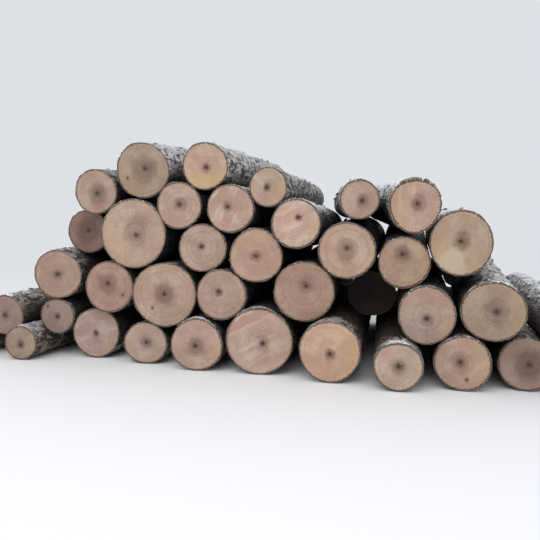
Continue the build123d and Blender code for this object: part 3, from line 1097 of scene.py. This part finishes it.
def curl_tree():
    graph, given, identifiers = open_tree("bark_curls", curl_sizes, ("Finish",))
    inputs = {"Size X": given["Curl length"], "Size Y": given["Curl width"], "Vertices X": 4, "Vertices Y": 2}
    strip = graph.node("GeometryNodeMeshGrid", {}, inputs)
    x, y, z = graph.split(graph.node("GeometryNodeInputPosition", {}, {}))
    bend = (x + given["Curl length"] * 0.5) / given["Curl radius"]
    rolled = graph.join(bend.math("SINE") * given["Curl radius"], y * (1.0 - bend * 0.3),
                        (1.0 - bend.math("COSINE")) * given["Curl radius"])
    strip = graph.node("GeometryNodeSetPosition", {}, {"Geometry": strip, "Position": rolled})
    upper = graph.node("GeometryNodeExtrudeMesh", {"mode": "FACES"},
                       {"Mesh": strip, "Offset Scale": given["Thickness"], "Individual": False})
    lower = graph.node("GeometryNodeFlipFaces", {}, {"Mesh": strip})
    both_sides = graph.node("GeometryNodeJoinGeometry", {}, {"Geometry": lower})
    graph.tree.links.new(upper.socket, both_sides.socket.node.inputs["Geometry"])
    curl = graph.node("GeometryNodeMergeByDistance", {}, {"Geometry": both_sides, "Distance": weld_gap})
    open_air = graph.ease(named_value(graph, "air"), 0.15, 0.5)
    points = scatter(graph, given, given["Curls"] * open_air, curl_seed)
    other_way = chance(graph, 0.0, 1.0, curl_seed + 3).math("GREATER_THAN", 0.5) * math.pi
    sideways = chance(graph, -0.15, 0.15, curl_seed + 1)
    raised = chance(graph, -0.22, 0.0, curl_seed + 2)
    spin = chance(graph, -0.4, 0.4, curl_seed + 4) + other_way
    outward, grain = [named_value(graph, label, "FLOAT_VECTOR") for label in ("outward", "grain")]
    rotation = turned(graph, (sideways, raised, spin), outward, grain)
    size = chance(graph, 0.4, 1.0, curl_seed + 5)
    scale = graph.join(size, size * chance(graph, 0.6, 1.8, curl_seed + 6), size)
    return finish_tree(graph, points, curl, rotation, scale, given["Finish"]), identifiers


crumb_seed = 21
crumb_sizes = {"Crumbs": 420.0, "Crumb size": 0.0075}


def crumb_tree():
    graph, given, identifiers = open_tree("snow_crumbs", crumb_sizes, ("Finish",))
    crumb = graph.node("GeometryNodeMeshIcoSphere", {}, {"Radius": given["Crumb size"], "Subdivisions": 1})
    spot = graph.node("GeometryNodeInputPosition", {}, {})
    drifts = graph.ease(graph.noise(spot, 9.0, 3.0, 0.6), 0.42, 0.58)
    snowy = graph.ease(named_value(graph, "snow"), 0.08, 0.32)
    points = scatter(graph, given, given["Crumbs"] * drifts * snowy, crumb_seed)
    spin = graph.join(0.0, 0.0, chance(graph, 0.0, 6.3, crumb_seed + 1))
    rotation = graph.node("FunctionNodeEulerToRotation", {}, {"Euler": spin})
    size = chance(graph, 0.5, 1.5, crumb_seed + 2)
    scale = graph.join(size, size * chance(graph, 0.8, 2.0, crumb_seed + 3), size * 0.7)
    return finish_tree(graph, points, crumb, rotation, scale, given["Finish"]), identifiers


print("trees for scattered pieces are ready")


# %% Curls and crumbs on the heap
curl_roughness = 0.8
curl_lift = 0.001


def shade_finish(name, plain, other, share):
    """Two colours, dealt out piece by piece, with painted shade where the air is closed in."""
    finish = Finish(name)
    grain = finish.noise(finish.node("ShaderNodeTexCoord", {}, {}, "Object"), 110.0, 3.0, 0.65)
    shade = finish.attribute("shade") + (grain - 0.5) * 0.25
    colour = finish.mix(finish.ease(shade, share - 0.06, share + 0.06), plain, other)
    colour = finish.mix((grain - 0.5).larger(0.0) * 1.4, colour, bark_black)
    # Painted shade: pieces are darkened where the open air round them is closed in
    damp = 1.0 - finish.ease(finish.attribute("air"), *painted_shade_air_range)
    colour = finish.mix(damp * 0.8, colour, painted_shade_colour)
    return finish.surface(colour, curl_roughness, grain, curl_lift)


def add_scattered(name, made, finish):
    tree, keys = made
    piece = bpy.data.objects.new(name, skin.copy())
    bpy.context.scene.collection.objects.link(piece)
    run_tree(piece, tree, keys, {"Finish": finish})
    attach(piece, "root")
    count = sum(len(face.vertices) - 2 for face in piece.data.polygons)
    print(f"{name}: {count} triangles")


curl_pale, curl_dark = (0.50, 0.47, 0.44), (0.095, 0.062, 0.045)
add_scattered("bark_curls", curl_tree(), shade_finish("curled_bark", curl_pale, curl_dark, 0.45))
add_scattered("snow_crumbs", crumb_tree(), shade_finish("snow_and_litter", snow_white, peeled_brown, 0.78))

# %% [markdown]
# ## Ground, sky and light
#
# The heap lies on a plain pale floor under a pale sky. Overcast light comes from everywhere, so the
# world does most of the lighting, and one large soft lamp in front keeps the sawn faces clear.

# %% Floor
floor_reach = 60.0
floor_colour = (0.825, 0.828, 0.832)
backdrop_colour = (0.73, 0.75, 0.78)
fade_start, fade_end = 5.0, 22.0
floor_mesh = bpy.data.meshes.new("floor")
floor_corners = [(x * floor_reach, y * floor_reach, 0.0) for x, y in ((-1, -1), (1, -1), (1, 1), (-1, 1))]
floor_mesh.from_pydata(floor_corners, [], [(0, 1, 2, 3)])
floor = bpy.data.objects.new("floor", floor_mesh)
bpy.context.scene.collection.objects.link(floor)


def camera_ray(graph):
    """1 for what the camera sees straight or in a mirror, 0 for the light that reaches the heap."""
    path = graph.tree.nodes.new("ShaderNodeLightPath")
    kinds = [Field(graph, path.outputs[f"Is {kind} Ray"]) for kind in ("Camera", "Glossy", "Transmission")]
    return kinds[0].larger(kinds[1]).larger(kinds[2])


ground = Finish("floor")
place = ground.node("ShaderNodeTexCoord", {}, {}, "Object")
far = ground.node("ShaderNodeVectorMath", {"operation": "LENGTH"}, {0: place}, "Value")
matt = ground.node("ShaderNodeBsdfDiffuse", {}, {"Color": (*floor_colour, 1.0)})
pale = ground.node("ShaderNodeEmission", {}, {"Color": (*backdrop_colour, 1.0), "Strength": 1.0})
fade = ground.ease(far, fade_start, fade_end) * camera_ray(ground)
faded = ground.node("ShaderNodeMixShader", {}, {0: fade, 1: matt, 2: pale})
ground.node("ShaderNodeOutputMaterial", {}, {"Surface": faded})
floor_mesh.materials.append(ground.material)
print("floor laid")

# %% Sky and lamp
sky_light = (0.93, 0.95, 1.0)
sky_strength = 0.95
world = bpy.data.worlds.new("overcast")
world.use_nodes = True
bpy.context.scene.world = world
world.node_tree.nodes.clear()
sky = Graph(world.node_tree)
light = sky.node("ShaderNodeBackground", {}, {"Color": (*sky_light, 1.0), "Strength": sky_strength})
shown = sky.node("ShaderNodeBackground", {}, {"Color": (*backdrop_colour, 1.0), "Strength": 1.0})
both = sky.node("ShaderNodeMixShader", {}, {0: camera_ray(sky), 1: light, 2: shown})
sky.node("ShaderNodeOutputWorld", {}, {"Surface": both})

lamp_data = bpy.data.lights.new("soft_front", "AREA")
lamp_data.shape = "DISK"
lamp_data.size = 7.0
lamp_data.energy = 300.0
lamp = bpy.data.objects.new("soft_front", lamp_data)
lamp.location = (-1.0, -8.0, 6.0)
lamp.rotation_euler = (Vector((0.0, -1.0, 0.8)) - lamp.location).to_track_quat("-Z", "Y").to_euler()
bpy.context.scene.collection.objects.link(lamp)
print("light set")
